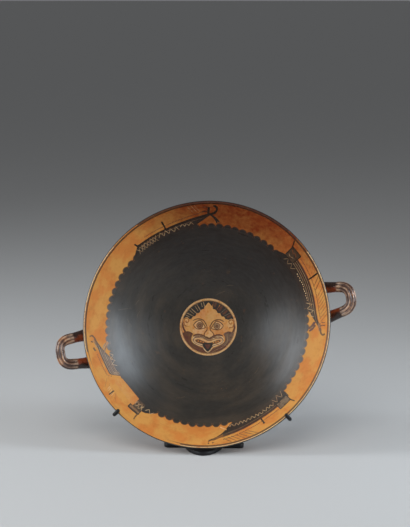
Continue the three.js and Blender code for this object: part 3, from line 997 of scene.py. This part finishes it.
def handle_line(shape):
    """Centre line of a handle that goes out to +X: leg, corner, bar, corner, leg."""
    tip, tip_half = shape["tip"], shape["tip_half"]

    def spacing(out):
        share = (out - ROOT["out"]) / (tip - ROOT["out"])
        return shape["root_half"] + (tip_half - shape["root_half"]) * share

    corner = tip - LOOP_BEND
    outs = [LEG_START + (corner - LEG_START) * k / LEG_STEPS for k in range(LEG_STEPS + 1)]
    leg = [(out, spacing(out)) for out in outs]
    bends = []
    for k in range(1, BEND_STEPS + 1):
        t = k / BEND_STEPS
        a, b, c = Vector(leg[-1]), Vector((tip, tip_half)), Vector((tip, tip_half - LOOP_BEND))
        bends.append(tuple(a * (1 - t) ** 2 + 2 * b * t * (1 - t) + c * t * t))
    half = leg + bends
    line = half + [(out, -side) for out, side in half[::-1]]

    def height(out):
        """Along the rise, but turned up into the wall at the root."""
        bend = ROOT_BEND["lift"] * max(0, ROOT_BEND["from"] - out) ** 2
        return ROOT["height"] + (out - ROOT["out"]) * math.tan(HANDLE_RISE) + bend

    return [Vector((out, side, height(out))) for out, side in line]


def sleeve_start(shape):
    """Length of a leg from its start to the sleeve."""
    leg = [point for point in handle_line(shape)[:LEG_STEPS] if point.x <= SLEEVE_OUT]
    return sum((b - a).length for a, b in zip(leg, leg[1:]))


def new_curve(name, *lines):
    """A curve of straight steps; each line is a list of points with the radius there."""
    curve = bpy.data.curves.new(name, "CURVE")
    curve.dimensions = "3D"
    for line in lines:
        spline = curve.splines.new("POLY")
        spline.points.add(len(line) - 1)
        for knot, (point, radius) in zip(spline.points, line):
            knot.co = (*point, 1)
            knot.radius = radius
    return curve


def handle_curve(name, shape):
    """The centre line turned to its place round the cup and set a little low, as a curve."""
    turned = Matrix.Rotation(math.radians(HANDLE_TURN + shape["turn"]), 4, "Z")
    drop = Matrix.Rotation(math.radians(HANDLE_TURN), 4, "Z") @ Vector((0, -shape["drop"], 0))
    return new_curve(name, [((turned @ point + drop) * MM, 1) for point in handle_line(shape)])


def stored(geometry, name, value):
    """The geometry with a value kept under a name on each point."""
    return geometry.node("GeometryNodeStoreNamedAttribute", {"data_type": "FLOAT", "domain": "POINT"}, {
        "Geometry": geometry, "Name": name, "Value": value})


def handle_tree():
    """Sweeps a roll of clay along the loop, combs reeds into its outer part and ends it inside the wall."""
    tree, given = new_tree("pull_handle", {
        "Leg Radius": "Float", "Sleeve Start": "Float", "Cuff Step": "Float", "Bar Step": "Float",
        "Reeds": "Float", "Reed Depth": "Float", "Root Flare": "Float", "Wall Radius": "Float",
        "Wall Bottom": "Float", "Across": "Vector", **PLACING_INPUTS, "Clay": "Material"})
    start = given["Geometry"]
    place = start.node("GeometryNodeInputPosition")
    offside = start.node("ShaderNodeVectorMath", {"operation": "DOT_PRODUCT"}, {
        0: place, 1: given["Across"]}, "Value")
    even = start.node("GeometryNodeResampleCurve", sockets={"Curve": start, "Count": HANDLE_STEPS})
    run = start.node("GeometryNodeSplineParameter", out="Length")
    whole = start.node("GeometryNodeCurveLength", sockets={"Curve": even})
    path = stored(even, "reach", start.math("MINIMUM", run, whole - run))
    path = stored(path, "middle", offside)
    hoop = start.node("GeometryNodeCurvePrimitiveCircle", sockets={
        "Resolution": HANDLE_SIDES, "Radius": given["Leg Radius"]})
    section = stored(hoop, "turn", start.node("GeometryNodeSplineParameter", out="Factor"))
    roll = start.node("GeometryNodeCurveToMesh", sockets={
        "Curve": path, "Profile Curve": section, "Fill Caps": True})
    reach, turn, middle = (named(start, name) for name in ("reach", "turn", "middle"))
    begin = given["Sleeve Start"]

    def beyond(low, high):
        """From 0 to 1 between two distances past the start of the sleeve."""
        return ramp(reach, begin + low * MM, begin + high * MM)

    sleeve = beyond(*SLEEVE_STEP)
    lobe = start.math("ABSOLUTE", start.math("COSINE", turn * given["Reeds"] * math.pi)) ** 0.8
    flare = ramp(reach, FLARE_END * MM, FLARE_FULL * MM) * given["Root Flare"]
    slim = beyond(*BAR_EASE) * (given["Bar Step"] - given["Cuff Step"])
    swell = flare + sleeve * (given["Cuff Step"] + slim + (lobe - 1) * given["Reed Depth"])
    outward = start.node("GeometryNodeInputNormal")
    offset = start.node("ShaderNodeVectorMath", {"operation": "SCALE"}, {0: outward, "Scale": swell})
    combed = start.node("GeometryNodeSetPosition", sockets={"Geometry": roll, "Offset": offset})
    inner = (middle - offside) * start.math("SIGN", middle) / given["Leg Radius"]
    faced = stored(combed, "inner", inner)

    x, y, z = parts(place)
    radius = given["Wall Radius"]
    span = start.math("MAXIMUM", radius * radius - x * x - y * y, 0)
    inside_wall = start.math("MINIMUM", z, given["Wall Bottom"] + radius - span ** 0.5)
    near_wall = start.math("LESS_THAN", x * x + y * y, (WALL_REACH * MM) ** 2)
    ended = start.node("GeometryNodeSetPosition", sockets={
        "Geometry": faced, "Selection": near_wall, "Position": vector_of(x, y, inside_wall)})
    for name, value in (("sleeve", sleeve), ("crest", lobe), ("cuff", beyond(*CUFF_WORN))):
        ended = stored(ended, name, value)
    end_tree(leaned_into_stand(ended, given), given["Clay"])
    return tree


LEG_WORN = (0.185, 0.038, 0.014, 1)
LEG_BLACK = (0.026, 0.011, 0.007, 1)
SLEEVE_DARK = (0.046, 0.018, 0.010, 1)
SLEEVE_LIGHT = (0.165, 0.085, 0.052, 1)
SLEEVE_ORANGE = (0.31, 0.125, 0.045, 1)
# Pale colour of the painted highlight along the reeds, and of the pale end of the sleeve
CREST_HIGHLIGHT_AND_END_PALE = (0.48, 0.33, 0.225, 1)


def handle_clay():
    """Worn slip on the legs, redder inside the loop; bare clay on the sleeve, with painted shade in its
    grooves and a painted highlight along each reed.
    """
    material, shader, start = new_material("handle_clay")
    upright = cup_coordinates(start)
    sleeve, crest, inner, cuff = (
        start.node("ShaderNodeAttribute", {"attribute_name": name}, out="Fac")
        for name in ("sleeve", "crest", "inner", "cuff"))
    mottle = noise(start, upright, 110, 4, 0.6)
    patches = noise(start, upright, 55, 2)
    grain = noise(start, upright, 900, 2)
    leg = mixed(ramp(inner * 0.30 + mottle * 0.5 + patches * 0.5, 0.38, 0.66), LEG_BLACK, LEG_WORN)
    # Paler on the reeds and darker in the grooves between them, which is painted shade, with patches at
    # random
    rubbed = ramp(crest * 0.5 + mottle * 0.6 + (patches - 0.5) * 0.8, 0.42, 0.92)
    bare = mixed(rubbed, SLEEVE_DARK, mixed(ramp(patches, 0.52, 0.66), SLEEVE_LIGHT, SLEEVE_ORANGE))
    # A pale line along the top of each reed is a painted highlight; the same colour marks the sleeve's end
    crest_highlight = ramp(crest + (mottle - 0.5) * 0.7, 0.88, 1.06) * (0.3 + ramp(patches, 0.42, 0.62) * 0.45)
    edge = cuff * ramp(mottle + crest * 0.3, 0.55, 0.85) * 0.6
    bare = mixed(start.math("MAXIMUM", crest_highlight, edge), bare, CREST_HIGHLIGHT_AND_END_PALE)
    link(mixed(sleeve, leg, bare), shader, "Base Color")
    link(0.26 + (mottle - 0.5) * 0.3, shader, "Roughness")
    bumped(shader, mottle + grain * 0.3, 0.2, 0.0005)
    link(0.08 + sleeve * 0.35, shader, "Coat Weight")
    shader.inputs["Coat Roughness"].default_value = 0.12
    return material


loop_clay = handle_clay()
pull_handle = handle_tree()
for side, shape in HANDLES.items():
    handle = made_plain(side + "_handle", handle_curve(side + "_handle_line", shape), pull_handle, {
        "Leg Radius": LEG_RADIUS * MM, "Sleeve Start": sleeve_start(shape) * MM,
        "Cuff Step": (CUFF_RADIUS - LEG_RADIUS) * MM, "Bar Step": (shape["bar"] - LEG_RADIUS) * MM,
        "Reeds": REEDS, "Reed Depth": REED_DEPTH * MM, "Root Flare": FLARE_SIZE * MM,
        "Across": (-math.sin(math.radians(HANDLE_TURN)), math.cos(math.radians(HANDLE_TURN)), 0),
        "Wall Radius": MIDDLE_SPHERE * MM, "Wall Bottom": MIDDLE_FLOOR * MM,
        **placing, "Clay": loop_clay,
    })
    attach(handle, "root")


# Display stand. Steel rod and plate, bent and brazed into one cradle and painted satin black: a flat foot
# with a cross bar, a leaning post, a fork round the stem, and two arms that end in hooks over the lip.
FIT_GAP = 0.9
STEM_RADIUS = 15.5
CLIP_ANGLES = {"left": -45.0, "right": 41.7}
FORK_ROD, FORK_HEIGHT, FORK_PRONG = 3.0, 28.5, 17.0
FORK_REACH = STEM_RADIUS + FORK_ROD + FIT_GAP
ARM_ROD, ARM_WALL_GAP = 2.5, 0.9
ARM_LEAVE, ARM_LIFT, ARM_JOIN, ARM_INSET = 46.0, 2.0, 74.0, 6.0
HOOK_REACH, HOOK_START, HOOK_EASE = 2.6, 2.0, (0.4, 1.6)
POST_ROD, POST_LAP = 4.5, 2.0
ROD_SIDES, BOW_STEPS, CAP_STEPS = 20, 20, 5
PLATE_THICKNESS = 0.005


def leaned(point):
    """A point of the upright cup, in millimetres, as it is in the stand, in metres."""
    upright = Matrix.Rotation(math.pi / 2 - LEAN, 4, "X")
    return FOOT_CENTRE + upright @ (Vector(point) * MM)


def pulled_oval(point):
    """A point of the upright cup moved as the oval of its rim moves it."""
    share = OVAL["share"] * min(max((point.z - OVAL["from"]) / (CUP_HEIGHT - OVAL["from"]), 0), 1)
    out = Vector((math.cos(OVAL["direction"]), math.sin(OVAL["direction"]), 0))
    side = Vector((-out.y, out.x, 0))
    return point + out * point.dot(out) * share - side * point.dot(side) * share


def arm_line(degrees):
    """From the fork, close under the bowl, to a hook over the lip."""
    wall = OUTSIDE_SPHERE + ARM_ROD + ARM_WALL_GAP
    centre = FLOOR_UNDER + OUTSIDE_SPHERE

    def at(out, height):
        flat = polar(out, degrees - 90)
        return Vector((flat.x, flat.y, height))

    outside = RIM_RADIUS + ARM_ROD + FIT_GAP
    front = CUP_HEIGHT + ARM_ROD + FIT_GAP
    knots = [at(FORK_REACH, FORK_HEIGHT), at(ARM_LEAVE, FORK_HEIGHT + ARM_LIFT)]
    for share in (0, 1 / 3, 2 / 3, 1):
        out = ARM_JOIN + (RIM_RADIUS - ARM_INSET - ARM_JOIN) * share
        knots.append(at(out, centre - math.sqrt(wall * wall - out * out)))
    knots.append(at(outside, LIP_HEIGHT - HOOK_START))
    knots.append(at(outside - HOOK_EASE[0], front - HOOK_EASE[1]))
    knots.append(at(RIM_RADIUS - HOOK_REACH, front))
    return flowing([pulled_oval(knot) for knot in knots], steps=10)


def fork_line():
    """Half round under the stem, between two straight prongs."""
    bow = [polar(FORK_REACH, 180 + 180 * k / BOW_STEPS)[:] for k in range(BOW_STEPS + 1)]
    flat = [(-FORK_REACH, FORK_PRONG), *bow, (FORK_REACH, FORK_PRONG)]
    return [Vector((x, y, FORK_HEIGHT)) for x, y in flat]


def rounded(points, rod):
    """The points of a rod with their radii, with half-round ends."""
    line = [(point, rod) for point in points]
    cap_turns = [math.radians(90 * k / CAP_STEPS) for k in range(1, CAP_STEPS + 1)]
    for end, before in ((points[0], points[1]), (points[-1], points[-2])):
        out = (end - before).normalized() * rod
        cap = [(end + out * math.sin(t), rod * math.cos(t)) for t in cap_turns]
        if end is points[0]:
            line = cap[::-1] + line
        else:
            line += cap
    return line


def rod_tree():
    """Sweeps a round section along each rod; the curve's own radius is the rod's."""
    tree, given = new_tree("bend_rods", {"Sides": "Int", "Paint": "Material"})
    start = given["Geometry"]
    section = start.node("GeometryNodeCurvePrimitiveCircle", sockets={
        "Resolution": given["Sides"], "Radius": 1.0})
    rods = start.node("GeometryNodeCurveToMesh", sockets={
        "Curve": start, "Profile Curve": section, "Fill Caps": True,
        "Scale": start.node("GeometryNodeInputRadius")})
    end_tree(rods, given["Paint"])
    return tree


STEEL_BLACK = (0.006, 0.006, 0.007, 1)
STEEL_RUBBED = (0.014, 0.014, 0.015, 1)


def black_paint():
    """Satin black paint on steel, faintly orange-peeled, a little greyer where hands have rubbed it."""
    material, shader, start = new_material("black_steel")
    place = start.node("ShaderNodeTexCoord", out="Object")
    cloud = noise(start, place, 45, 3)
    peel = noise(start, place, 700, 2)
    link(mixed(ramp(cloud, 0.45, 0.75), STEEL_BLACK, STEEL_RUBBED), shader, "Base Color")
    link(0.42 + (cloud - 0.5) * 0.25, shader, "Roughness")
    bumped(shader, peel, 0.1, 0.0003)
    shader.inputs["Specular IOR Level"].default_value = 0.3
    return material


fork_bottom = Vector((0, -(FORK_REACH + POST_LAP), FORK_HEIGHT))
post_top = leaned(fork_bottom)
post_down = leaned(fork_bottom - Vector((0, 1, 0))) - post_top
post_foot = post_top + post_down * ((PLATE_THICKNESS / 2 - post_top.z) / post_down.z)
rods = [rounded([leaned(point) for point in fork_line()], FORK_ROD * MM)]
for degrees in CLIP_ANGLES.values():
    rods.append(rounded([leaned(point) for point in arm_line(degrees)], ARM_ROD * MM))
rods.append([(point, POST_ROD * MM) for point in (post_top, post_foot)])
satin_black = black_paint()
stand = made_plain("display_stand_painted", new_curve("stand_rods", *rods), rod_tree(), {
    "Sides": ROD_SIDES, "Paint": satin_black,
})

# Foot plate and cross bar, cut as one flat shape, with its edges eased
PLATE_HALF_WIDTH, PLATE_BACK, PLATE_FRONT, PLATE_SHIFT = 30.0, 115.0, 42.5, -3.2
PLATE_SIDES, PLATE_EASE = 96, 0.0007
BAR_HALF, BAR_RADIUS, BAR_FRONT, BAR_END_STEPS = 52.0, 7.0, 8.7, 12
CORNER_ANGLE, SHARP_ANGLE, FLAT_ANGLE = math.radians(69), math.radians(35), 0.01
rim_y = leaned((0, 0, CUP_HEIGHT)).y / MM
plate_x = FOOT_CENTRE.x / MM + PLATE_SHIFT
half_length = (PLATE_FRONT + PLATE_BACK) / 2
plate_y = rim_y + PLATE_BACK - half_length
bar_y = rim_y - BAR_FRONT + BAR_RADIUS
plate = []
for k in range(PLATE_SIDES):
    t = 2 * math.pi * k / PLATE_SIDES
    plate.append(Vector((plate_x + PLATE_HALF_WIDTH * math.cos(t), plate_y + half_length * math.sin(t))))
bar_end = BAR_HALF - BAR_RADIUS
bar = []
for side in (1, -1):
    for k in range(BAR_END_STEPS + 1):
        t = math.radians(-90 + 180 * k / BAR_END_STEPS)
        out = bar_end + BAR_RADIUS * math.cos(t)
        bar.append(Vector((plate_x + side * out, bar_y + side * BAR_RADIUS * math.sin(t))))
outline_faces = [list(range(len(plate))), list(range(len(plate), len(plate) + len(bar)))]
places, _, triangles, _, _, owners = delaunay_2d_cdt(plate + bar, [], outline_faces, 0, SAME_PLACE)
shape = bmesh.new()
knots = [shape.verts.new((p.x * MM, p.y * MM, 0)) for p in places]
for triangle, owner in zip(triangles, owners):
    if owner:
        shape.faces.new([knots[i] for i in triangle])
inner_edges = [edge for edge in shape.edges if not edge.is_boundary]
bmesh.ops.dissolve_limit(shape, angle_limit=FLAT_ANGLE, verts=shape.verts, edges=inner_edges)
lower = list(shape.faces)
raised = bmesh.ops.extrude_face_region(shape, geom=lower, use_keep_orig=True)
for corner in raised["geom"]:
    if isinstance(corner, bmesh.types.BMVert):
        corner.co.z = PLATE_THICKNESS
bmesh.ops.recalc_face_normals(shape, faces=shape.faces)
rim_edges = [e for e in shape.edges if len(e.link_faces) == 2 and e.calc_face_angle(0) > CORNER_ANGLE]
bmesh.ops.bevel(shape, geom=rim_edges, offset=PLATE_EASE, segments=2, affect="EDGES", profile=0.5)
plate_mesh = bpy.data.meshes.new("stand_plate")
shape.to_mesh(plate_mesh)
shape.free()
plate_mesh.materials.append(satin_black)
joined = bmesh.new()
joined.from_mesh(stand.data)
joined.from_mesh(plate_mesh)
joined.to_mesh(stand.data)
joined.free()
stand.data.set_sharp_from_angle(angle=SHARP_ANGLE)
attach(stand, "root")
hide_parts("display_stand")


# Floor and light. A plain pale floor under soft lights. On each side a broad light and a narrow one further
# round give the sheens of the bowl; a large one in front, kept out of reflections, lights the rest.
# The lights at the sides are narrowed to a beam, so that the floor stays even.
def pale_floor():
    material, shader, _ = new_material("pale_floor")
    shader.inputs["Base Color"].default_value = (0.48, 0.48, 0.475, 1)
    shader.inputs["Roughness"].default_value = 0.85
    return material


FLOOR_REACH = 2000.0
floor_mesh = bpy.data.meshes.new("floor")
floor_corners = [(x * FLOOR_REACH, y * FLOOR_REACH, 0) for x, y in ((-1, -1), (1, -1), (1, 1), (-1, 1))]
floor_mesh.from_pydata(floor_corners, [], [(0, 1, 2, 3)])
floor_mesh.materials.append(pale_floor())
floor = bpy.data.objects.new("floor", floor_mesh)
scene.collection.objects.link(floor)

BOWL_MIDDLE = Vector((0, -0.03, 0.165))


def soft_light(name, azimuth, elevation, size, watts, colour=(1, 1, 1), distance=2.2, spread=110, gleam=True):
    """A soft oval light aimed at the bowl; azimuth 0 is straight in front, positive to the right."""
    turn, lift = math.radians(azimuth), math.radians(elevation)
    towards = Vector((math.sin(turn) * math.cos(lift), -math.cos(turn) * math.cos(lift), math.sin(lift)))
    light = bpy.data.lights.new(name, "AREA")
    light.shape = "ELLIPSE"
    light.size, light.size_y = size
    light.energy = watts
    light.spread = math.radians(spread)
    light.color = colour
    lamp = bpy.data.objects.new(name, light)
    lamp.location = BOWL_MIDDLE + towards * distance
    lamp.rotation_euler = towards.to_track_quat("Z", "Y").to_euler()
    lamp.visible_glossy = gleam
    lamp.visible_camera = False
    scene.collection.objects.link(lamp)


soft_light("left_light", -66, 15, (1.6, 1.3), 7.8, (0.88, 0.94, 1.0))
soft_light("left_edge_light", -88, 22, (0.55, 1.7), 10.2, (0.90, 0.95, 1.0))
soft_light("right_light", 60, 20, (1.5, 1.4), 3.2, (0.88, 0.94, 1.0))
soft_light("right_edge_light", 80, 19, (0.40, 1.26), 4.8, (0.80, 0.90, 1.0), distance=1.25)
soft_light("front_light", -8, 46, (1.6, 1.6), 27.5, spread=180, gleam=False)

sky = bpy.data.worlds.new("studio")
sky.use_nodes = True
sky.node_tree.nodes["Background"].inputs["Color"].default_value = (0.9, 0.92, 0.95, 1)
sky.node_tree.nodes["Background"].inputs["Strength"].default_value = 0.19
scene.world = sky
scene.view_settings.view_transform = "Standard"
